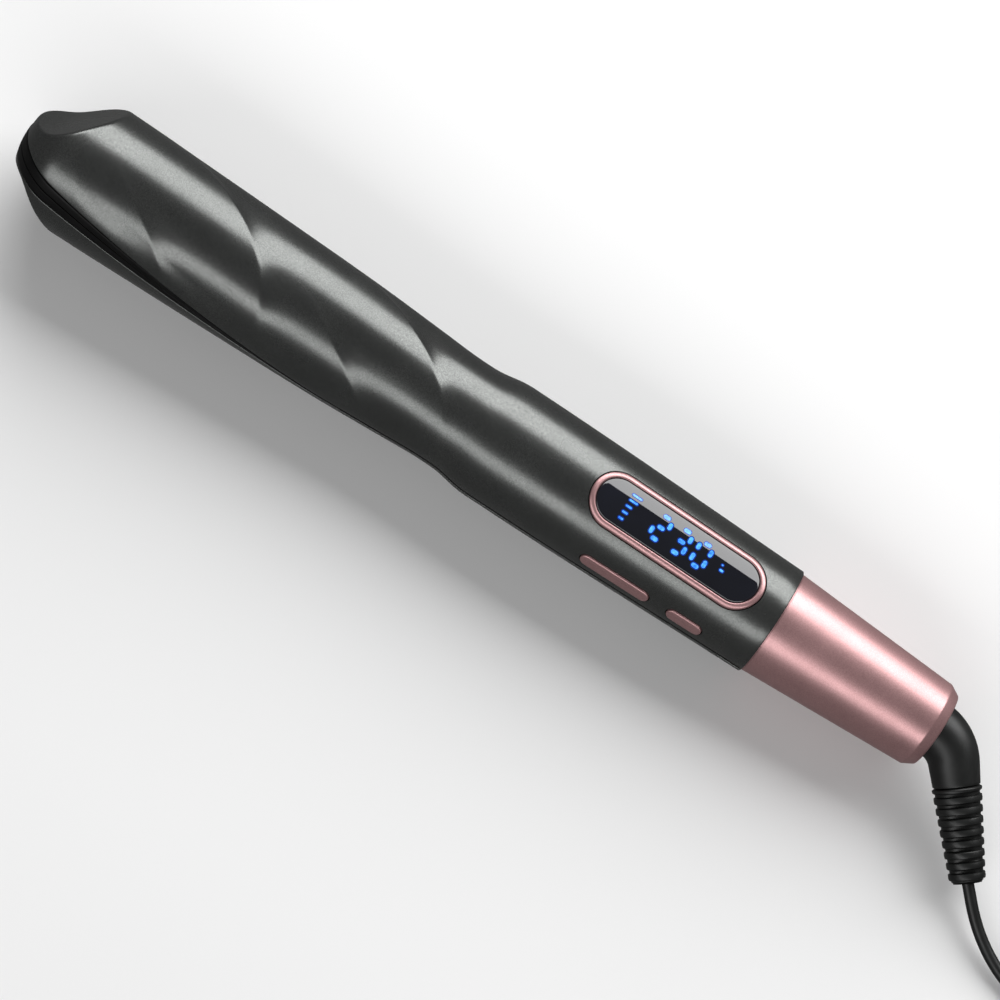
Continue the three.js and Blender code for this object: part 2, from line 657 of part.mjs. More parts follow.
add(styler, 'cord_stub', cordTube([...CORD_ROUTE.slice(0, STUB_POINTS), STUB_END]), rubber());
add(styler, 'cord_run', cordTube([RUN_START, ...CORD_ROUTE.slice(STUB_POINTS + 1)]), rubber());
add(styler, 'cord_coil', cordCoil(), rubber());
add(styler, 'cord_tie', cordTie(), blackPlastic());
add(styler, 'cord_lead', cordTube(LEAD_ROUTE), rubber());
add(styler, 'plug_body', plugBody(), rubber());
add(styler, 'plug_pin_left', plugPin(1), steel());
add(styler, 'plug_pin_right', plugPin(-1), steel());

export default styler;
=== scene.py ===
"""The looks of the two-arm hair styler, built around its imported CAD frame, in metres with +Z up.

Lengths below are in millimetres. The tool is drawn along its own axis: x is the distance from the tip,
y and z are measured from the axis, and a turn is measured from the top towards the buttons, on the -Y side.
"""

import math

import bpy
import numpy as np
from mathutils import Matrix, Vector


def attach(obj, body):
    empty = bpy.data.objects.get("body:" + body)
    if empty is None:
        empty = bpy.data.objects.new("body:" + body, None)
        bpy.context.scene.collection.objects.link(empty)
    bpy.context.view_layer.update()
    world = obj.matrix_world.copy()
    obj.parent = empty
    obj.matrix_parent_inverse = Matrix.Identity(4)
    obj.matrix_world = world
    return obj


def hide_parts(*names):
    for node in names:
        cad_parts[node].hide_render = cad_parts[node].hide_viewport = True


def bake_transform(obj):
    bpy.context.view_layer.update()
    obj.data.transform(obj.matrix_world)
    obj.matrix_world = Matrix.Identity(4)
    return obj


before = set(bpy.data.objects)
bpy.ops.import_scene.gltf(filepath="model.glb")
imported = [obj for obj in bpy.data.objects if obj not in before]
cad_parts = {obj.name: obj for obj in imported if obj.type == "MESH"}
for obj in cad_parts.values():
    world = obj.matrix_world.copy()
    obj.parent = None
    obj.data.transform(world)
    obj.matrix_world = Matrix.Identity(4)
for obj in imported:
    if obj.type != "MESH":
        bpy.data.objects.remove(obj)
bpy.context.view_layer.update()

# ---- dimensions, as in the CAD model -----------------------------------------------------------------
MM = 0.001
GAP = 0.3
WALL = 1.8
ORIGIN = 200
SEAM = 245.6
TAIL = 300
LEAN = 0.0156
AXIS_HEIGHT = 16.96
NOSE = 16
BODY_PROFILE = np.array([
    [0, 20], [21, 20], [50, 19.5], [80, 18.8], [105, 18.1], [126, 17],
    [138, 16.35], [145, 16.45], [153, 17.65], [160, 17.75], [SEAM, 16.5],
])
TWIST = math.radians(47)
TWIST_LENGTH = 105
TWIST_POWER = 1.3
RIM_TIP = 3.1
RIM_HANDLE = 0.7
RIM_LENGTH = 88
RIM_INSET = 0.985

CREASE_TURN = 43
CREASE_EDGE = 0.1
CREASES = [
    {"at": 82, "every": 59, "slant": 0.09, "curve": 0.0027, "depth": 0.85, "fade": (-80, -40)},
    {"at": 48.5, "every": 62, "slant": 0.35, "curve": 0.003, "depth": 0.5, "fade": (-8, 25)},
]
CREASE_SOFTNESS = 0.004
SKIN = 0.16  # the fine skin lies this far inside the faceted one

SCOOP = {"turn": math.radians(55), "floor": 6.4, "slope": 0.94, "start": 7, "soft": 1.6}
SCOOP_SOFTNESS = 0.6

PLATE = {"from": 27, "to": 118, "half": 11.3, "thick": 1.95}
CAVITY_FROM = 24.7
LIP = {"wall": 0.6, "length": 7.8}
EDGE = 0.3

DISPLAY = {"middle": 210.5, "length": 55, "width": 16.4, "ring": 1.7, "proud": 0.35}
KEY_TURN = math.radians(69)
ROCKER = {"middle": 202, "length": 21.9, "width": 4.3}
POWER = {"middle": 224.5, "length": 11.1, "width": 4.3}
KEY_PROUD = 0.35
KEY_DEPTH = 3.5
KEY_FLANGE = {"top": 2.9, "margin": 0.45}

SPRING = {"x": 228, "turns": 4.5, "radius": 3.2, "length": 11, "wire": 0.45}
CUP_WELL = 4.9

NECK_RADIUS = 8
NECK_FALL = math.radians(15)
NECK_BEND = math.radians(50)
NECK_BEND_RADIUS = 13
NECK_CORNER = 5
BOOT = {"start": 16.9, "length": 27.4, "front": 7, "rear": 5, "ribs": 9, "groove": 1.1}

CORD = 3.6
CORD_RADIUS = 1.75
COIL_MIDDLE = (197.2, -26.9)
COIL_RINGS = (18, 21.6, 25.2)
COIL_LAYERS = 4
COIL_BOTTOM = 2.6
TIE = 0.5
TIE_HALF = 4
TIE_TURN = 2.1
CORD_ROUTE = [
    (130.25, -29.2, 7.1), (132.6, -31.6, 6.5), (135.6, -34.6, 5.6), (139.6, -38, 4.5), (144.6, -41.3, 3.3),
    (150.6, -44.3, 2.4), (157.4, -46.6, 1.95), (166.5, -48.8, 1.8), (180, -50.8, 1.8),
]
LEAD_ROUTE = [
    (199.8, -55.9, 13.2), (211.9, -52.3, 11), (221.2, -43.7, 8.5), (225.8, -32, 5.8), (225.6, -20.8, 3.4),
    (223.2, -11.5, 2.2), (219, -3.9, 2.6), (214.2, 1.4, 4.3), (208.8, 4.2, 6.5),
]
PLUG_ENTRY = (208, 4.5, 6.85)
PLUG_HEADING = math.radians(160)
PLUG_BODY = {"relief": 12, "length": 35.3, "width": 26, "height": 13.7}
PLUG_PIN = {"length": 19, "radius": 2, "spacing": 18.6}


# ---- small helpers -----------------------------------------------------------------------------------
def smoothstep(x, low, high):
    t = np.clip((x - low) / (high - low), 0, 1)
    return t * t * (3 - 2 * t)


def tool_to_row(points):
    """From the tool's own axis, in mm, to the row frame, in metres."""
    p = np.asarray(points, float)
    x = p[..., 0] - ORIGIN
    c, s = math.cos(LEAN), math.sin(LEAN)
    row = np.stack([x * c + p[..., 2] * s, p[..., 1], AXIS_HEIGHT - x * s + p[..., 2] * c], -1)
    return row * MM


def mesh_piece(name, points, faces, sharp=40):
    mesh = bpy.data.meshes.new(name)
    mesh.from_pydata([tuple(p) for p in np.asarray(points, float).reshape(-1, 3)], [], faces)
    mesh.validate()
    piece = bpy.data.objects.new(name, mesh)
    bpy.context.scene.collection.objects.link(piece)
    shade(piece, sharp)
    return piece


def shade(piece, sharp=40):
    """Smooth shading, with edges over that many degrees left sharp."""
    mesh = piece.data
    mesh.polygons.foreach_set("use_smooth", [True] * len(mesh.polygons))
    mesh.set_sharp_from_angle(angle=math.radians(sharp))


def loft(name, rings, ends="face", around=True, sharp=40):
    """A closed skin over rings of matching points (rings, points, 3). ends is face, or loop for a torus."""
    rings = np.asarray(rings, float)
    count, size = rings.shape[:2]
    faces = []
    for i in range(count if ends == "loop" else count - 1):
        a, b = i * size, ((i + 1) % count) * size
        for j in range(size if around else size - 1):
            k = (j + 1) % size
            faces.append((a + j, a + k, b + k, b + j))
    if ends == "face":
        faces.append(tuple(range(size))[::-1])
        faces.append(tuple(range((count - 1) * size, count * size)))
    volume = sum_volume(rings.reshape(-1, 3), faces)
    if volume < 0:
        faces = [face[::-1] for face in faces]
    return mesh_piece(name, rings, faces, sharp)


def sum_volume(points, faces):
    total = 0.0
    middle = points.mean(0)
    for face in faces:
        p = points[list(face)] - middle
        total += np.einsum("ij,ij->", np.cross(p[1:-1], p[2:]), np.broadcast_to(p[0], p[1:-1].shape))
    return total


def boolean(piece, other, operation="DIFFERENCE"):
    """Cuts other out of piece, or joins it on, and removes other."""
    modifier = piece.modifiers.new("cut", "BOOLEAN")
    modifier.operation = operation
    modifier.object = other
    modifier.solver = "MANIFOLD"
    bpy.context.view_layer.update()
    done = piece.evaluated_get(bpy.context.evaluated_depsgraph_get())
    mesh = bpy.data.meshes.new_from_object(done)
    piece.modifiers.clear()
    piece.data = mesh
    bpy.data.objects.remove(other)
    shade(piece)
    return piece


def copy_of(node):
    """A free copy of a CAD node's mesh, to build a finer piece from."""
    piece = bpy.data.objects.new("copy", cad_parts[node].data.copy())
    bpy.context.scene.collection.objects.link(piece)
    piece.data.materials.clear()
    return piece


def lathe(name, profile, sides=96, sharp=40, closed=True):
    """Turns (radius, x) pairs about the tool's axis."""
    angle = np.linspace(0, 2 * math.pi, sides, endpoint=False)
    rings = [
        np.stack([np.full(sides, x), r * np.sin(angle), r * np.cos(angle)], -1) for r, x in profile
    ]
    return loft(name, tool_to_row(rings), "loop" if closed else "face", sharp=sharp)


def rounded(profile, radius, steps=4):
    """The same closed outline with its corners rounded."""
    p = np.asarray(profile, float)
    out = []
    for i, corner in enumerate(p):
        before, after = p[i - 1] - corner, p[(i + 1) % len(p)] - corner
        reach = min(radius, 0.45 * np.linalg.norm(before), 0.45 * np.linalg.norm(after))
        a = corner + before / np.linalg.norm(before) * reach
        b = corner + after / np.linalg.norm(after) * reach
        for t in np.linspace(0, 1, steps + 1):
            out.append((1 - t) ** 2 * a + 2 * t * (1 - t) * corner + t * t * b)
    return np.array(out)


def finish_piece(piece, material, body, slot, *nodes):
    piece.data.materials.clear()
    piece.data.materials.append(material)
    if nodes:
        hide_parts(*nodes)
    if body:
        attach(piece, body)
    return piece


# ---- camera ------------------------------------------------------------------------------------------
ELEVATION = math.radians(75)
ROLL = math.radians(33.2)
FIELD = 0.2757
DISTANCE = 1.1


def add_camera():
    level_up = Vector((0, math.sin(ELEVATION), math.cos(ELEVATION)))
    towards = Vector((0, -math.cos(ELEVATION), math.sin(ELEVATION)))
    right = Vector((math.cos(ROLL), 0, 0)) + level_up * math.sin(ROLL)
    up = Vector((-math.sin(ROLL), 0, 0)) + level_up * math.cos(ROLL)
    target = Vector(tool_to_row((164.3, 0, 0))) - level_up * 13.3 * MM
    data = bpy.data.cameras.new("camera")
    data.sensor_width = 36
    data.lens = data.sensor_width * DISTANCE / FIELD
    camera = bpy.data.objects.new("camera", data)
    camera.matrix_world = Matrix.Translation(target + towards * DISTANCE) @ Matrix(
        (right, up, towards)
    ).transposed().to_4x4()
    bpy.context.scene.collection.objects.link(camera)
    bpy.context.scene.camera = camera


# ---- materials ---------------------------------------------------------------------------------------
class Nodes:
    """A Principled material with its texture nodes, in object coordinates, where 1 is a metre."""

    def __init__(self, name, roughness=0.5, metallic=0.0, **inputs):
        self.material = bpy.data.materials.new(name)
        self.material.use_nodes = True
        self.tree = self.material.node_tree
        self.shader = self.tree.nodes["Principled BSDF"]
        self.shader.inputs["Roughness"].default_value = roughness
        self.shader.inputs["Metallic"].default_value = metallic
        for key, value in inputs.items():
            self.shader.inputs[key.replace("_", " ")].default_value = value
        self.place = self.tree.nodes.new("ShaderNodeTexCoord").outputs["Object"]

    def add(self, kind, **settings):
        node = self.tree.nodes.new("ShaderNode" + kind)
        for key, value in settings.items():
            setattr(node, key, value)
        return node

    def link(self, source, target):
        self.tree.links.new(source, target)

    def stretched(self, scale):
        mapping = self.add("Mapping")
        mapping.inputs["Scale"].default_value = scale
        self.link(self.place, mapping.inputs["Vector"])
        return mapping.outputs["Vector"]

    def noise(self, scale, detail=2.0, place=None):
        node = self.add("TexNoise")
        node.inputs["Scale"].default_value = scale
        node.inputs["Detail"].default_value = detail
        self.link(place or self.place, node.inputs["Vector"])
        return node.outputs["Fac"]

    def cells(self, scale, feature="F1"):
        node = self.add("TexVoronoi", feature=feature)
        node.inputs["Scale"].default_value = scale
        self.link(self.place, node.inputs["Vector"])
        return node

    def ramp(self, value, *stops):
        """stops are (position, colour or level)."""
        node = self.add("ValToRGB")
        elements = node.color_ramp.elements
        while len(elements) < len(stops):
            elements.new(0.5)
        for element, (position, colour) in zip(elements, stops):
            element.position = position
            element.color = (*colour, 1) if hasattr(colour, "__len__") else (colour,) * 3 + (1,)
        self.link(value, node.inputs["Fac"])
        return node.outputs["Color"]

    def blend(self, first, second, factor, kind="MIX"):
        node = self.add("Mix", data_type="RGBA", blend_type=kind)
        if isinstance(factor, float):
            node.inputs["Factor"].default_value = factor
        else:
            self.link(factor, node.inputs["Factor"])
        self.link(first, node.inputs["A"])
        self.link(second, node.inputs["B"])
        return node.outputs["Result"]

    def colour(self, output):
        self.link(output, self.shader.inputs["Base Color"])

    def roughness(self, value, low, high):
        node = self.add("MapRange")
        node.inputs["From Min"].default_value = 0.3
        node.inputs["From Max"].default_value = 0.7
        node.inputs["To Min"].default_value = low
        node.inputs["To Max"].default_value = high
        self.link(value, node.inputs["Value"])
        self.link(node.outputs["Result"], self.shader.inputs["Roughness"])

    def bump(self, height, strength, distance):
        node = self.add("Bump")
        node.inputs["Strength"].default_value = strength
        node.inputs["Distance"].default_value = distance * MM
        last = self.shader.inputs["Normal"]
        if last.is_linked:
            self.link(last.links[0].from_socket, node.inputs["Normal"])
        self.link(height, node.inputs["Height"])
        self.link(node.outputs["Normal"], last)


def lacquer(name, dark, light, metallic, low, high, flake=5200):
    """Metallic lacquer over a moulding: fine flakes, faint mottling and a slightly uneven sheen."""
    n = Nodes(name, metallic=metallic)
    flakes = n.ramp(n.cells(flake).outputs["Color"], (0.1, dark), (0.9, light))
    mottle = n.ramp(n.noise(140, 4), (0.3, 0.93), (0.7, 1.0))
    n.colour(n.blend(flakes, mottle, 1.0, "MULTIPLY"))
    n.roughness(n.noise(55, 5), low, high)
    n.bump(n.noise(900, 2), 0.05, 0.2)
    n.bump(n.cells(flake).outputs["Distance"], 0.06, 0.05)
    return n.material


def moulded(name, dark, light, low, high, grain=1800, depth=0.12, specular=0.5):
    """Fine-grained moulded plastic or rubber."""
    n = Nodes(name, Specular_IOR_Level=specular)
    n.colour(n.ramp(n.noise(grain / 6, 4), (0.3, dark), (0.7, light)))
    n.roughness(n.noise(90, 4), low, high)
    n.bump(n.noise(grain, 3), depth, 0.2)
    return n.material


def metal(name, dark, light, low, high, grain=(2500, 60, 2500), depth=0.08, metallic=1.0):
    """Brushed or drawn metal, with its grain along Y unless said otherwise."""
    n = Nodes(name, metallic=metallic)
    streaks = n.noise(1.0, 3, n.stretched(grain))
    n.colour(n.ramp(streaks, (0.3, dark), (0.7, light)))
    n.roughness(n.noise(120, 4), low, high)
    n.bump(streaks, depth, 0.1)
    return n.material


def graphite():
    return lacquer("graphite", (0.09, 0.094, 0.091), (0.15, 0.154, 0.15), 0.88, 0.24, 0.3)


def rose_gold():
    return lacquer("rose_gold", (0.5, 0.28, 0.285), (0.62, 0.37, 0.37), 0.8, 0.36, 0.42)


def ceramic():
    n = Nodes("ceramic_coating", metallic=0.25)
    distance = n.cells(1500).outputs["Distance"]
    specks = n.ramp(distance, (0.12, (0.16, 0.13, 0.11)), (0.3, (0.035, 0.03, 0.028)))
    n.colour(n.blend(specks, n.ramp(n.noise(160, 4), (0.3, 0.8), (0.7, 1.0)), 1.0, "MULTIPLY"))
    n.roughness(n.noise(70, 5), 0.18, 0.28)
    n.bump(n.noise(1400, 2), 0.04, 0.1)
    return n.material


def lens_glass():
    n = Nodes("display_lens", Coat_Weight=1.0, Coat_Roughness=0.03)
    n.colour(n.ramp(n.noise(60, 3), (0.3, (0.002, 0.0025, 0.006)), (0.7, (0.005, 0.006, 0.012))))
    n.roughness(n.noise(45, 5), 0.03, 0.07)
    n.bump(n.noise(700, 2), 0.01, 0.05)
    return n.material


def lit(name, dark, light, strength):
    """A lit segment under the lens: brighter in its middle, with a faint grain."""
    n = Nodes(name, roughness=0.08, Emission_Strength=strength)
    glow = n.ramp(n.noise(900, 2), (0.3, dark), (0.7, light))
    n.colour(glow)
    n.link(glow, n.shader.inputs["Emission Color"])
    return n.material


def circuit_board():
    n = Nodes("circuit_board")
    lines = n.add("TexBrick", offset=0.37, squash=0.6)
    lines.inputs["Scale"].default_value = 260
    lines.inputs["Mortar Size"].default_value = 0.03
    lines.inputs["Color1"].default_value = (0.012, 0.09, 0.035, 1)
    lines.inputs["Color2"].default_value = (0.016, 0.12, 0.045, 1)
    lines.inputs["Mortar"].default_value = (0.05, 0.26, 0.1, 1)
    n.link(n.place, lines.inputs["Vector"])
    pads = n.ramp(n.cells(420).outputs["Distance"], (0.16, (0.7, 0.7, 0.66)), (0.2, (0.02, 0.02, 0.02)))
    n.colour(n.blend(lines.outputs["Color"], pads, 0.9, "LIGHTEN"))
    n.roughness(n.noise(200, 3), 0.3, 0.45)
    n.bump(lines.outputs["Fac"], 0.3, 0.1)
    return n.material


def mica():
    n = Nodes("mica_sheet", metallic=0.1)
    layers = n.cells(900)
    n.colour(n.ramp(layers.outputs["Color"], (0.2, (0.45, 0.4, 0.29)), (0.8, (0.72, 0.68, 0.56))))
    n.roughness(n.noise(300, 4), 0.35, 0.6)
    n.bump(layers.outputs["Distance"], 0.3, 0.1)
    return n.material


def strap():
    n = Nodes("woven_strap", Sheen_Weight=0.4, Sheen_Roughness=0.5)
    weave = n.add("TexWave", bands_direction="DIAGONAL")
    weave.inputs["Scale"].default_value = 700
    weave.inputs["Distortion"].default_value = 1.5
    n.link(n.place, weave.inputs["Vector"])
    n.colour(n.ramp(weave.outputs["Fac"], (0.2, (0.006, 0.006, 0.007)), (0.8, (0.03, 0.03, 0.032))))
    n.roughness(n.noise(400, 3), 0.75, 0.95)
    n.bump(weave.outputs["Fac"], 0.5, 0.15)
    return n.material


def floor_material():
    n = Nodes("floor")
    n.colour(n.ramp(n.noise(3, 3), (0.3, (0.84, 0.84, 0.84)), (0.7, (0.86, 0.86, 0.86))))
    n.roughness(n.noise(8, 3), 0.8, 0.9)
    return n.material


GRAPHITE = graphite()
ROSE_GOLD = rose_gold()
BLACK = moulded("black_moulding", (0.002, 0.002, 0.002), (0.004, 0.004, 0.004), 0.4, 0.52, specular=0.18)
RUBBER = moulded(
    "black_rubber", (0.004, 0.0044, 0.0042), (0.009, 0.0095, 0.0092), 0.36, 0.46, 1400, 0.1, 0.45
)
SWITCH_BLACK = moulded("switch_plastic", (0.02, 0.02, 0.02), (0.035, 0.035, 0.035), 0.5, 0.65, 2600, 0.15)
STEEL = metal("zinc_plated_steel", (0.48, 0.49, 0.5), (0.68, 0.68, 0.7), 0.22, 0.36)
ALUMINIUM = metal("heater_aluminium", (0.42, 0.43, 0.44), (0.6, 0.61, 0.62), 0.35, 0.5, (60, 2500, 2500))
NICKEL = metal("plug_nickel", (0.58, 0.56, 0.52), (0.74, 0.72, 0.68), 0.15, 0.25, (900, 900, 900), 0.05)
CERAMIC = ceramic()


# ---- cord --------------------------------------------------------------------------------------------
def through(points, step):
    """A smooth line through points (a centripetal Catmull-Rom spline), with points about a step apart."""
    p = np.asarray(points, float)
    p = np.vstack([2 * p[0] - p[1], p, 2 * p[-1] - p[-2]])
    line = []
    for a, b, c, d in zip(p, p[1:], p[2:], p[3:]):
        t = np.cumsum([0] + [np.linalg.norm(v - u) ** 0.5 for u, v in ((a, b), (b, c), (c, d))])
        count = max(1, round(np.linalg.norm(c - b) / step))
        for s in np.linspace(t[1], t[2], count, endpoint=False):
            ab, bc, cd = (
                ((k1 - s) * u + (s - k0) * v) / (k1 - k0)
                for u, v, k0, k1 in ((a, b, t[0], t[1]), (b, c, t[1], t[2]), (c, d, t[2], t[3]))
            )
            abc = ((t[2] - s) * ab + (s - t[0]) * bc) / (t[2] - t[0])
            bcd = ((t[3] - s) * bc + (s - t[1]) * cd) / (t[3] - t[1])
            line.append(((t[2] - s) * abc + (s - t[1]) * bcd) / (t[2] - t[1]))
    return [*line, p[-2]]


COIL_ENTRY = -95.9
COIL_EXIT = -115
STEP_OVER = 60
LAYER_SHIFT = 30
LAYER_RISE = 3.58


def coil_path():
    """The wound part, in degrees round the coil.

    Each layer has three rings, and one window in which the cord steps over from ring to ring, or climbs to
    the next layer. Each layer's window comes a little earlier.
    """
    turns, radii, heights = [], [], []

    def ring(start, end, radius, height):
        for turn in np.arange(start, end, 7.5):
            turns.append(turn)
            radii.append(radius)
            heights.append(height)

    def step(start, from_radius, to_radius, from_height, to_height):
        for u in np.arange(0, 1, 0.125):
            v = smoothstep(u, 0, 1) * math.pi / 2
            turns.append(start + STEP_OVER * u)
            radii.append(to_radius + (from_radius - to_radius) * math.cos(v))
            heights.append(from_height + (to_height - from_height) * math.sin(v))

    at = COIL_ENTRY
    window = COIL_ENTRY + 360 - STEP_OVER
    for layer in range(COIL_LAYERS):
        height = COIL_BOTTOM + LAYER_RISE * layer
        rings = COIL_RINGS[::-1] if layer % 2 == 0 else COIL_RINGS
        for inner, outer in zip(rings, rings[1:]):
            ring(at, window, inner, height)
            step(window, inner, outer, height, height)
            at, window = window + STEP_OVER, window + 360
        if layer == COIL_LAYERS - 1:
            end = COIL_EXIT + 360 * math.ceil((at - COIL_EXIT) / 360)
            ring(at, end, rings[-1], height)
        else:
            ring(at, window, rings[-1], height)
            step(window, rings[-1], rings[-1], height, height + LAYER_RISE)
            at, window = window + STEP_OVER, window + 360 - LAYER_SHIFT
    angle = np.radians(turns)
    return np.stack(
        [COIL_MIDDLE[0] + radii * np.cos(angle), COIL_MIDDLE[1] + radii * np.sin(angle), heights], -1
    )


def tube(name, path, radius, sides=12):
    """A round tube along a path, its section carried along without twisting."""
    p = np.asarray(path, float)
    tangent = np.gradient(p, axis=0)
    tangent /= np.linalg.norm(tangent, axis=1, keepdims=True)
    side = np.cross(tangent[0], (0, 0, 1))
    rings = []
    angle = np.linspace(0, 2 * math.pi, sides, endpoint=False)
    for centre, along in zip(p, tangent):
        side = side - along * (side @ along)
        side /= np.linalg.norm(side)
        up = np.cross(along, side)
        rings.append(centre + radius * (np.outer(np.cos(angle), side) + np.outer(np.sin(angle), up)))
    return loft(name, rings, sharp=60)


def make_cord():
    coil = coil_path()
    run = through([*CORD_ROUTE, coil[1], coil[2]], 2.5)[:-3]
    lead = through([coil[-2], coil[-1], *LEAD_ROUTE], 2.5)[2:]
    path = np.vstack([run, coil[1:], lead])
    path[:, 2] = np.maximum(path[:, 2], CORD_RADIUS + 0.02)
    return tube("cord", path * MM, CORD_RADIUS * MM), path * MM


add_camera()
cord, cord_path = make_cord()


# ---- the form shared by both arms --------------------------------------------------------------------
def profile_radius(x):
    px, pr = BODY_PROFILE.T
    slope = np.diff(pr) / np.diff(px)
    slope_at = np.concatenate([slope[:1], (slope[:-1] + slope[1:]) / 2, slope[-1:]])
    i = np.searchsorted(px[1:-1], x, side="left")
    width = px[i + 1] - px[i]
    t = (x - px[i]) / width
    bend = t * (1 - t) ** 2 * slope_at[i] - t * t * (1 - t) * slope_at[i + 1]
    return pr[i] + t * t * (3 - 2 * t) * (pr[i + 1] - pr[i]) + width * bend


def body_radius(x):
    x = np.asarray(x, float)
    nose = np.sqrt(1 - np.clip(1 - x / NOSE, 0, 1) ** 2)
    return profile_radius(x) * nose


def crease_depth(side, x, angle):
    """How far the creases lie below the round body, at an angle from the middle of the arm's back."""
    turn = np.degrees(side * angle - split_twist(x))
    below = CREASE_TURN - turn
    along = smoothstep(x, 16, 40) * (1 - smoothstep(x, 128, 146))
    across = 1 - smoothstep(np.abs(np.degrees(angle)), 62, 86)
    depth = 0.0
    for crease in CREASES:
        behind = crease["slant"] * below + crease["curve"] * np.maximum(below, 0) ** 2
        s = ((x + behind - crease["at"]) / crease["every"]) % 1
        s = np.sqrt(s**2 + CREASE_SOFTNESS**2) - CREASE_SOFTNESS
        hollow = 1.78 * (1 - np.exp(-s / CREASE_EDGE)) * (1 - s) ** 2
        depth = depth + crease["depth"] * hollow * smoothstep(turn, *crease["fade"])
    return along * across * depth


def scoop_floor(x):
    rise = np.log1p(np.exp((x - SCOOP["start"]) / SCOOP["soft"]))
    return SCOOP["floor"] + SCOOP["slope"] * SCOOP["soft"] * rise


def outside_radius(side, x, angle):
    """The body's radius, less the creases and the finger scoop, with the scoop's edge a little rounded."""
    r = body_radius(x) - SKIN - crease_depth(side, x, angle)
    across = np.cos(side * angle - split_twist(x) + SCOOP["turn"])
    cut = np.where(across > 0.05, scoop_floor(x) / np.maximum(across, 0.05), 1000)
    near = np.maximum(SCOOP_SOFTNESS - np.abs(r - cut), 0) / SCOOP_SOFTNESS
    return np.minimum(r, cut) - near**2 * SCOOP_SOFTNESS / 4


def split_twist(x):
    return TWIST * np.clip(1 - np.asarray(x, float) / TWIST_LENGTH, 0, 1) ** TWIST_POWER


def rim_height(x):
    return RIM_HANDLE + (RIM_TIP - RIM_HANDLE) * np.clip(1 - np.asarray(x, float) / RIM_LENGTH, 0, 1)


def arm_point(side, x, across, out):
    """out is measured from the split between the arms, and across along it, towards the buttons."""
    twist = split_twist(x)
    y = side * out * np.sin(twist) - across * np.cos(twist)
    z = side * out * np.cos(twist) + across * np.sin(twist)
    return np.stack([np.broadcast_to(x, y.shape), y, z], -1)


def body_stations(start, end):
    nose = NOSE * (1 - np.cos(np.linspace(math.acos(1 - start / NOSE), math.pi / 2, 40)))
    barrel = np.arange(NOSE + 0.6, 146, 0.6)
    shoulder = np.arange(146.5, 162, 1)
    handle = np.linspace(163, end, 24)
    return np.concatenate([nose, barrel, shoulder, handle])


OUTER_POINTS = 201
INNER_POINTS = 40


def shell_ring(side, x, inner_radius, inset=0.0):
    """One closed section of a shell: the outside, two small rounded edges, and the inside or a flat."""
    base = float(rim_height(x)) + GAP
    radius = float(body_radius(x))
    edges = []
    for sign in (-1, 1):
        angle = sign * math.acos((base + EDGE) / radius)
        for _ in range(4):
            r = float(outside_radius(side, x, angle)) - inset
            angle = sign * math.acos(min(0.97, (base + EDGE) / r))
        edges.append(angle)
    angle = np.linspace(*edges, OUTER_POINTS)
    r = outside_radius(side, x, angle) - inset
    outside = np.stack([r * np.sin(angle), r * np.cos(angle)], -1)
    rolls = []
    for index, sign in ((-1, 1), (0, -1)):
        normal = np.array([math.sin(angle[index]), math.cos(angle[index])])
        centre = outside[index] - EDGE * normal
        for t in np.linspace(0, math.pi / 2, 5)[1:]:
            way = math.cos(t) * normal + math.sin(t) * np.array([0, -1])
            rolls.append((sign, centre + EDGE * way / np.linalg.norm(way)))
    right = [p for sign, p in rolls if sign > 0]
    left = [p for sign, p in rolls if sign < 0][::-1]
    low = right[-1][1]
    if inner_radius is None:
        across = np.linspace(right[-1][0], left[0][0], INNER_POINTS + 2)[1:-1]
        inside = np.stack([across, np.full(INNER_POINTS, low)], -1)
    else:
        reach = math.acos(low / inner_radius)
        around = np.linspace(reach, -reach, INNER_POINTS)
        inside = inner_radius * np.stack([np.sin(around), np.cos(around)], -1)
    section = np.vstack([outside, right, inside, left])
    return arm_point(side, x, section[:, 0], section[:, 1])


def shell(side, name):
    lip_from = SEAM - LIP["length"]
    rings = []
    for x in body_stations(0.8, SEAM - GAP - 0.25):
        if x < CAVITY_FROM:
            rings.append(shell_ring(side, x, None))
        elif x < lip_from:
            rings.append(shell_ring(side, x, float(body_radius(x)) - WALL))
        else:
            rings.append(shell_ring(side, x, float(body_radius(SEAM)) - LIP["wall"]))
    for inset, x in ((0.1, SEAM - GAP - 0.1), (0.25, SEAM - GAP)):
        rings.append(shell_ring(side, x, float(body_radius(SEAM)) - LIP["wall"], inset))
    solid_ends = sum(body_stations(0.8, SEAM - GAP - 0.25) < CAVITY_FROM)
    rings.insert(solid_ends, shell_ring(side, CAVITY_FROM, float(body_radius(CAVITY_FROM)) - WALL))
    rings.insert(solid_ends, shell_ring(side, CAVITY_FROM, None))
    points = tool_to_row(rings)
    if side < 0:
        points[..., 2] = np.maximum(points[..., 2], 0)
    return loft(name, points, sharp=35)


# ---- capsule shapes on the handle: the display and the keys ------------------------------------------
ARC_POINTS = 30
STRAIGHT_POINTS = 24


def capsule_outline(length, width):
    """Points round a capsule that lies along x, evenly matched whatever its size."""
    r = max(width / 2, 0.01)
    reach = (length - width) / 2
    arc = np.linspace(-math.pi / 2, math.pi / 2, ARC_POINTS)
    line = np.linspace(reach, -reach, STRAIGHT_POINTS + 2)[1:-1]
    right = np.stack([reach + r * np.cos(arc), r * np.sin(arc)], -1)
    left = -right
    top = np.stack([line, np.full(STRAIGHT_POINTS, r)], -1)
    return np.vstack([right, top, left, -top])


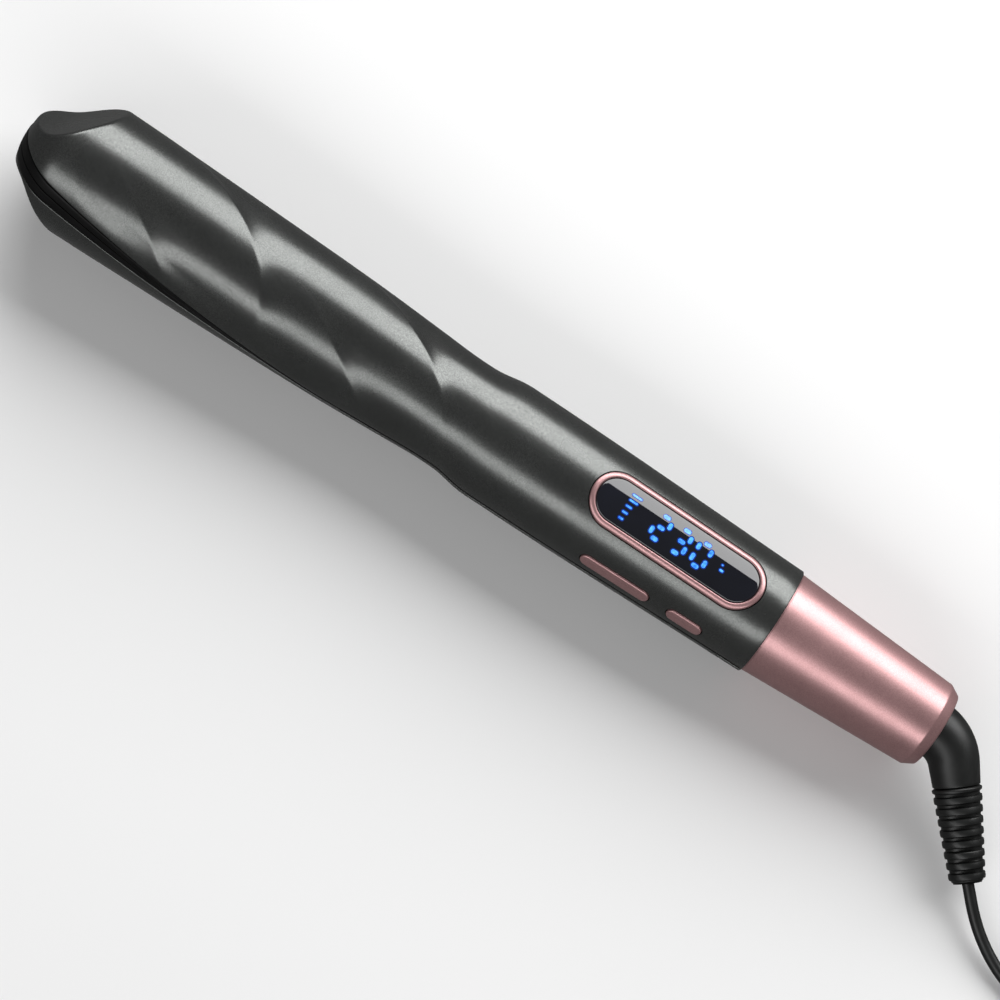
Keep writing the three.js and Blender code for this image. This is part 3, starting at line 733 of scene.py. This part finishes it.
def on_handle(middle, outline, height, turn=0.0):
    """Lays an outline on the handle's surface, at a height over it, turned round the axis."""
    x = middle + outline[:, 0]
    across = outline[:, 1]
    z = np.sqrt(body_radius(x) ** 2 - across**2) + height
    c, s = math.cos(turn), math.sin(turn)
    return tool_to_row(np.stack([x, across * c - z * s, across * s + z * c], -1))


def capsule_levels(middle, length, width, levels, turn=0.0):
    return [
        on_handle(middle, capsule_outline(length + 2 * grow, width + 2 * grow), height, turn)
        for grow, height in levels
    ]


def upright_capsule(middle, length, width, low, high, turn=0.0):
    """A straight capsule prism through the handle's wall, for a cut."""
    outline = capsule_outline(length, width)
    x = middle + outline[:, 0]
    c, s = math.cos(turn), math.sin(turn)
    rings = [
        tool_to_row(np.stack([x, outline[:, 1] * c - z * s, outline[:, 1] * s + z * c], -1))
        for z in (low, high)
    ]
    return loft("cutter", rings)


def chamfer_cut(middle, length, width, edge, turn=0.0):
    """Opens the edge of a cut by a small bevel that follows the handle's surface."""
    levels = [(0, -edge), (edge, 0.01), (edge + 0.4, 0.41)]
    return loft("cutter", capsule_levels(middle, length, width, levels, turn))


def cut_window(piece, shape, turn):
    length, width = shape["length"] + 2 * GAP, shape["width"] + 2 * GAP
    r = float(body_radius(shape["middle"]))
    low = 8 if turn == 0 else r - 6
    boolean(piece, upright_capsule(shape["middle"], length, width, low, 25, turn))
    boolean(piece, chamfer_cut(shape["middle"], length, width, 0.16, turn))


def upper_shell():
    piece = shell(1, "upper_shell_skin")
    cut_window(piece, DISPLAY, 0)
    cut_window(piece, ROCKER, KEY_TURN)
    cut_window(piece, POWER, KEY_TURN)
    shade(piece, 35)
    return finish_piece(piece, GRAPHITE, "upper_arm", "graphite_shell", "upper_shell")


def lower_shell():
    piece = shell(-1, "lower_shell_skin")
    return finish_piece(piece, GRAPHITE, "lower_arm", "graphite_shell", "lower_shell")


# ---- black frames, plates ----------------------------------------------------------------------------
def bar(side, name, start, end, half, low, high, steps, radius=0.0):
    outline = np.array([[-half, low], [half, low], [half, high], [-half, high]], float)
    if radius:
        outline = rounded(outline, radius)
    rings = [arm_point(side, x, outline[:, 0], outline[:, 1]) for x in np.linspace(start, end, steps)]
    return loft(name, tool_to_row(rings))


def post(radius, x, low, high, sides=48):
    angle = np.linspace(0, 2 * math.pi, sides, endpoint=False)
    rings = [
        tool_to_row(np.stack([x + radius * np.cos(angle), radius * np.sin(angle), np.full(sides, z)], -1))
        for z in (low, high)
    ]
    return loft("cutter", rings)


def rim(side, name):
    """The black band that shows between the shells, with slightly rounded edges."""
    rings = []
    for x in body_stations(0.32, SEAM - 8):
        radius = RIM_INSET * float(body_radius(x)) + 0.05
        top = min(float(rim_height(x)) + 0.02, 0.8 * radius)
        out = np.array([0.12, 0.2, 0.35, *np.linspace(0.5, max(top - 0.2, 0.51), 5), top])
        reach = np.sqrt(radius**2 - out**2) - np.array([0.12, 0.03, 0] + [0] * 5 + [0.12])
        section = np.vstack([np.stack([reach, out], -1), np.stack([-reach, out], -1)[::-1]])
        rings.append(arm_point(side, x, section[:, 0], section[:, 1]))
    return loft(name, tool_to_row(rings))


def arm_frame(side, arm):
    piece = rim(side, f"{arm}_frame_moulding")
    half = PLATE["half"] + GAP
    boolean(piece, bar(side, "cutter", PLATE["from"] - GAP, PLATE["to"] + GAP, half, -1, 9, 60))
    boolean(piece, post(CUP_WELL, SPRING["x"], -6, 6))
    boolean(piece, copy_of(f"{arm}_frame"), "UNION")
    shade(piece, 35)
    return finish_piece(piece, BLACK, f"{arm}_arm", "black_frame", f"{arm}_frame")


def plate(side, arm):
    piece = bar(
        side, f"{arm}_ceramic_plate", PLATE["from"], PLATE["to"], PLATE["half"], GAP / 2,
        PLATE["thick"] + GAP / 2, 90, 0.8,
    )
    return finish_piece(piece, CERAMIC, f"{arm}_arm", "ceramic_plate", f"{arm}_plate")


# ---- display and keys --------------------------------------------------------------------------------
def bezel():
    ring, proud = DISPLAY["ring"], DISPLAY["proud"]
    dome = [
        (-ring / 2 - ring / 2 * math.cos(t), -0.25 + (proud + 0.24) * math.sin(t) ** 0.8)
        for t in np.linspace(math.pi, 0, 15)
    ]
    levels = [(0, -1.3), *dome, (-ring, -1.3)]
    rings = capsule_levels(DISPLAY["middle"], DISPLAY["length"], DISPLAY["width"], levels)
    piece = loft("display_ring", rings, "loop", sharp=50)
    return finish_piece(piece, ROSE_GOLD, "upper_arm", "rose_gold", "display_bezel")


def lens():
    inset = 2 * (DISPLAY["ring"] + GAP / 2)
    length, width = DISPLAY["length"] - inset, DISPLAY["width"] - inset
    half = width / 2
    levels = [(-half, -1.2), (-0.3, -1.2), (0, -1.1), (0, -0.2), (-0.1, -0.03), (-0.3, 0.03), (-0.8, 0.04)]
    levels += [(-w, 0.04) for w in np.linspace(1.5, half, 6)]
    rings = capsule_levels(DISPLAY["middle"], length, width, levels)
    piece = loft("display_glass", rings, sharp=50)
    return finish_piece(piece, lens_glass(), "upper_arm", "display_glass", "display_lens")


SEGMENT = {"length": 2.1, "width": 1.15}
DIGIT = {"half_width": 1.95, "half_height": 3.5}
DIGIT_PLACES = [(204.8, "ABGED"), (211.5, "ABGCD"), (218.1, "ABCDEF")]
SEGMENT_PLACES = {
    "A": (0, 1, 0), "B": (1, 0.5, 1), "C": (1, -0.5, 1), "D": (0, -1, 0),
    "E": (-1, -0.5, 1), "F": (-1, 0.5, 1), "G": (0, 0, 0),
}
LEVEL_BARS = [(-3.9, 1.5), (-2.0, 1.7), (-0.1, 1.9), (1.8, 2.7), (3.6, 3.1)]
LEVEL_X = 193.4


def lit_marks():
    """(x, y, length, width, upright) of each lit mark on the display."""
    marks = []
    for middle, segments in DIGIT_PLACES:
        for segment in segments:
            right, up, upright = SEGMENT_PLACES[segment]
            x = middle + right * DIGIT["half_width"]
            marks.append((x, up * DIGIT["half_height"], SEGMENT["length"], SEGMENT["width"], upright))
    marks += [(LEVEL_X + length / 2, y, length, 0.55, 0) for y, length in LEVEL_BARS]
    marks += [(224.9, -0.6, 1.2, 0.6, 0), (224.4, 0.9, 0.5, 0.4, 0)]
    return marks


def lit_piece(name, grow, height, material, share=1.0):
    """Thin raised marks, all in one mesh, that follow the lens."""
    points, faces = [], []
    for x, y, length, width, upright in lit_marks():
        outline = capsule_outline(length + 2 * grow, (width + 2 * grow) * share)
        if upright:
            outline = outline[:, ::-1] * (-1, 1)
        outline = outline + (x - DISPLAY["middle"], y)
        start, count = len(points), len(outline)
        for level in (0.0, height):
            points.extend(on_handle(DISPLAY["middle"], outline, level))
        faces.append(tuple(range(start + count, start + 2 * count)))
        faces.append(tuple(range(start, start + count))[::-1])
        faces += [
            (start + j, start + (j + 1) % count, start + count + (j + 1) % count, start + count + j)
            for j in range(count)
        ]
    piece = mesh_piece(name, points, faces)
    return finish_piece(piece, material, "upper_arm", "display_glass")


def key(name, shape, node):
    edge = [(0, -0.25), (-0.04, 0.02), (-0.14, 0.2), (-0.32, 0.3)]
    crown = [(-0.7, 0.34), (-1.2, KEY_PROUD), (-2.1, 0.33)]
    margin, top = KEY_FLANGE["margin"], -KEY_FLANGE["top"]
    bottom = -KEY_DEPTH + 0.4
    levels = [(-2.1, bottom), (margin, bottom), (margin, top), (0, top), *edge, *crown]
    rings = capsule_levels(shape["middle"], shape["length"], shape["width"], levels, KEY_TURN)
    piece = loft(name, rings, sharp=40)
    return finish_piece(piece, ROSE_GOLD, node, "rose_gold", node)


# ---- tail cap, neck and strain relief ----------------------------------------------------------------
def tail_cap():
    outline = rounded([
        (13.7, SEAM - 5), (15.5, SEAM - 5), (15.5, SEAM + 0.02), (15.6, SEAM + 0.05), (12.95, 296.6),
        (11.2, 299.75), (9.8, TAIL), (8.4, TAIL), (8.4, 293), (11, 293), (13.7, SEAM + 4),
    ], 0.35)
    piece = lathe("tail_cap_shell", outline, 160, 50)
    return finish_piece(piece, ROSE_GOLD, "lower_arm", "rose_gold", "tail_cap")


def neck_frame(along):
    """Centre and section axes at a distance along the bent neck, in the plane that it bends in."""
    bend_start = NECK_CORNER - NECK_BEND_RADIUS * math.tan(NECK_BEND / 2)
    turn = min(max((along - bend_start) / NECK_BEND_RADIUS, 0), NECK_BEND)
    past = max(0, along - bend_start - NECK_BEND_RADIUS * NECK_BEND)
    x = min(along, bend_start) + NECK_BEND_RADIUS * math.sin(turn) + past * math.cos(turn)
    away = NECK_BEND_RADIUS * (1 - math.cos(turn)) + past * math.sin(turn)
    sideways = np.array([0, -math.cos(NECK_FALL), -math.sin(NECK_FALL)])
    centre = np.array([TAIL + x, 0, 0]) + sideways * away
    normal = np.array([-math.sin(turn), 0, 0]) + sideways * math.cos(turn)
    return centre, normal, np.cross((1, 0, 0), sideways)


def neck_sweep(name, stations, sides=64, radius_at=None):
    angle = np.linspace(0, 2 * math.pi, sides, endpoint=False)
    rings = []
    for along, radius in stations:
        centre, normal, upward = neck_frame(along)
        r = radius_at(along, angle) if radius_at else np.full(sides, radius)
        rings.append(
            centre + np.outer(r * np.cos(angle), normal) + np.outer(r * np.sin(angle), upward)
        )
    return loft(name, tool_to_row(rings), sharp=45)


def swivel_neck():
    stations = [(-10.1, 10.2), (-9.9, 10.4), (-7.6, 10.4), (-7.4, 10.2), (-7.3, NECK_RADIUS)]
    stations += [(s, NECK_RADIUS) for s in (-6, -4, -2)]
    stations += [(s, NECK_RADIUS - 0.08 * s) for s in np.linspace(0, BOOT["start"] - 0.3, 26)]
    stations += [(BOOT["start"] - 0.1, 6.6), (BOOT["start"], 6.35)]
    piece = neck_sweep("swivel_elbow", stations)
    return finish_piece(piece, RUBBER, "swivel", "black_frame", "swivel_neck")


def strain_relief():
    start, pitch = BOOT["start"] + GAP, BOOT["length"] / BOOT["ribs"]
    end = start + BOOT["length"] - GAP - 0.45

    def radius_at(along, angle):
        share = (along - start) / BOOT["length"]
        radius = BOOT["front"] + (BOOT["rear"] - BOOT["front"]) * share
        phase = ((along - start) / pitch + 0.18) % 1
        groove = smoothstep(phase, 0.55, 0.66) * (1 - smoothstep(phase, 0.9, 1.0))
        crown = 0.12 * np.sin(np.clip(phase / 0.66, 0, 1) * math.pi)
        depth = 0.5 + BOOT["groove"] * np.sin(angle) ** 2
        rounding = 0.5 * (smoothstep(along, end - 0.7, end) + 1 - smoothstep(along, start, start + 0.4))
        return radius - 0.1 + crown - groove * depth - rounding

    stations = [(s, 0) for s in np.linspace(start, end, 170)]
    piece = neck_sweep("cord_boot", stations, 72, radius_at)
    return finish_piece(piece, RUBBER, "swivel", "rubber_cord", "strain_relief")


def spring():
    t = np.linspace(0, 1, 220)
    angle = t * SPRING["turns"] * 2 * math.pi
    x = SPRING["x"] + SPRING["radius"] * np.cos(angle)
    path = np.stack([x, SPRING["radius"] * np.sin(angle), SPRING["length"] * (t - 0.5)], -1)
    piece = tube("coil_spring", tool_to_row(path), SPRING["wire"] * MM, 10)
    return finish_piece(piece, STEEL, "lower_arm", "steel", "opening_spring")


# ---- tie and plug ------------------------------------------------------------------------------------
def cord_tie():
    """A flat strap with rounded corners, round one side of the coil."""
    inner, outer = COIL_RINGS[0] - 0.55 * CORD, COIL_RINGS[-1] + 0.55 * CORD
    near, far = math.sqrt(inner**2 - TIE_HALF**2) - GAP, outer + GAP
    top = TIE + GAP + COIL_LAYERS * CORD + GAP
    loops = []
    for grow, half in ((0, TIE_HALF), (TIE, TIE_HALF), (TIE, -TIE_HALF), (0, -TIE_HALF)):
        left, right, low, high = near - grow, far + grow, TIE - grow, top + grow
        box = [(left, low), (right, low), (right, high), (left, high)]
        outline = rounded(box, 1.2 + grow, 6)
        loops.append(np.stack([outline[:, 0], np.full(len(outline), half), outline[:, 1]], -1))
    c, s = math.cos(TIE_TURN), math.sin(TIE_TURN)
    p = np.array(loops)
    x = COIL_MIDDLE[0] + p[..., 0] * c - p[..., 1] * s
    y = COIL_MIDDLE[1] + p[..., 0] * s + p[..., 1] * c
    piece = loft("coil_tie", np.stack([x, y, p[..., 2]], -1) * MM, "loop")
    return finish_piece(piece, strap(), "lower_arm", "strap", "cord_tie")


def place_plug(points):
    p = np.asarray(points, float)
    c, s = math.cos(PLUG_HEADING), math.sin(PLUG_HEADING)
    x = PLUG_ENTRY[0] + p[..., 0] * c - p[..., 1] * s
    y = PLUG_ENTRY[1] + p[..., 0] * s + p[..., 1] * c
    return np.stack([x, y, PLUG_ENTRY[2] + p[..., 2]], -1) * MM


def plug_body():
    relief, length = PLUG_BODY["relief"], PLUG_BODY["length"]
    end = relief + length
    angle = np.linspace(0, 2 * math.pi, 64, endpoint=False)
    stations = [*np.linspace(0.3, relief, 50), *np.linspace(relief + 0.3, end - 1.2, 60)]
    stations += [end - 0.6, end - 0.2, end - 0.02, end]
    rings = []
    for x in stations:
        grown = smoothstep(x, relief, relief + 15)
        half = 2.9 + 1.7 * min(x / relief, 1) + 8.4 * grown
        tall = (5.8 + 2.2 * min(x / relief, 1) + 5.7 * grown) / 2
        if 1 < x < relief - 0.6:
            groove = 0.55 * smoothstep(math.sin(x * 2 * math.pi / 2.6), 0.1, 0.7)
            half, tall = half - groove, tall - groove
        grip = 0.35 * smoothstep(math.sin((x - 27) * 2 * math.pi / 3.2), 0.2, 0.8) if 27 < x < 39.8 else 0
        edge = 0.9 * (1 - math.sqrt(1 - min(1, max(0, (x - end + 1.2) / 1.2)) ** 2))
        half, tall = half - grip - edge, tall - edge
        square = lambda value, power: np.sign(value) * np.abs(value) ** power
        power = 1 - 0.5 * float(smoothstep(x, relief - 3, relief + 8))
        rings.append(np.stack(
            [np.full(64, x), half * square(np.cos(angle), power), tall * square(np.sin(angle), power)], -1
        ))
    piece = loft("mains_plug", place_plug(rings), sharp=50)
    return finish_piece(piece, RUBBER, "lower_arm", "rubber_cord", "plug_body")


def plug_pin(side, name, node):
    start = PLUG_BODY["relief"] + PLUG_BODY["length"] + GAP
    radius, length = PLUG_PIN["radius"], PLUG_PIN["length"]
    profile = [(radius, 0), (radius, 9.9), (radius - 0.12, 10.05), (radius - 0.12, length - 1.8)]
    profile += [
        ((radius - 0.12) * math.cos(t), length - 1.8 + 1.8 * math.sin(t))
        for t in (0.3, 0.6, 0.9, 1.2, 1.45)
    ]
    angle = np.linspace(0, 2 * math.pi, 32, endpoint=False)
    offset = side * PLUG_PIN["spacing"] / 2
    rings = [
        np.stack([np.full(32, start + x), offset + r * np.cos(angle), r * np.sin(angle)], -1)
        for r, x in profile
    ]
    piece = loft(name, place_plug(rings))
    return finish_piece(piece, NICKEL, "lower_arm", "plug_pin", node)


# ---- build -------------------------------------------------------------------------------------------
upper_shell()
lower_shell()
for arm_side, arm_name in ((1, "upper"), (-1, "lower")):
    arm_frame(arm_side, arm_name)
    plate(arm_side, arm_name)
bezel()
lens()
lit_piece("display_glow", 0.3, 0.055, lit("glow", (0.003, 0.015, 0.12), (0.005, 0.025, 0.2), 1.0))
lit_piece("display_digits", 0.0, 0.07, lit("digits", (0.02, 0.14, 0.7), (0.1, 0.4, 0.95), 0.75))
key("rocker_key", ROCKER, "temperature_rocker")
key("power_key", POWER, "power_button")
tail_cap()
swivel_neck()
boot = strain_relief()
spring()
tie = cord_tie()
plug = plug_body()
pins = [plug_pin(1, "plug_pin_a", "plug_pin_left"), plug_pin(-1, "plug_pin_b", "plug_pin_right")]

finish_piece(cord, RUBBER, None, "rubber_cord", "cord_stub", "cord_run", "cord_coil", "cord_lead")
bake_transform(cord)

CAD_FINISHES = {
    ALUMINIUM: ["upper_heater", "lower_heater"],
    mica(): ["upper_heat_shield", "lower_heat_shield", "upper_thermistor", "lower_thermistor"],
    SWITCH_BLACK: ["display_module", "temperature_up_switch", "temperature_down_switch", "power_switch"],
    circuit_board(): ["control_board", "key_board"],
    STEEL: ["hinge_pin", "board_screw_1", "board_screw_2", "board_screw_3", "board_screw_4"],
}
for finish, names in CAD_FINISHES.items():
    for node_name in names:
        mesh_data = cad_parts[node_name].data
        mesh_data.materials.clear()
        mesh_data.materials.append(finish)


# ---- stage and light ---------------------------------------------------------------------------------
def add_floor():
    half = 3
    floor = mesh_piece(
        "floor", [(-half, -half, 0), (half, -half, 0), (half, half, 0), (-half, half, 0)], [(0, 1, 2, 3)]
    )
    floor.location.z = -0.0004
    floor.data.materials.append(floor_material())
    floor.visible_glossy = False


def add_softbox(name, direction, distance, width, height, energy):
    """A long rectangle of light that faces the object, with its width along X."""
    data = bpy.data.lights.new(name, "AREA")
    data.shape = "RECTANGLE"
    data.size, data.size_y = width, height
    data.energy = energy
    light = bpy.data.objects.new(name, data)
    back = Vector(direction).normalized()
    side = Vector((1, 0, 0))
    light.matrix_world = Matrix.Translation(back * distance + Vector((0, 0, 0.02))) @ Matrix(
        (side, back.cross(side), back)
    ).transposed().to_4x4()
    bpy.context.scene.collection.objects.link(light)


def add_world():
    world = bpy.data.worlds.new("studio")
    world.use_nodes = True
    background = world.node_tree.nodes["Background"]
    background.inputs["Color"].default_value = (1, 1, 1, 1)
    background.inputs["Strength"].default_value = 0.13
    bpy.context.scene.world = world


add_floor()
add_softbox("softbox_back", (0, 0.8, 0.6), 0.9, 1.6, 0.7, 15.5)
add_softbox("softbox_front", (0, -0.81, 0.59), 0.9, 1.6, 0.34, 5)
add_world()
bpy.context.scene.view_settings.view_transform = "Standard"
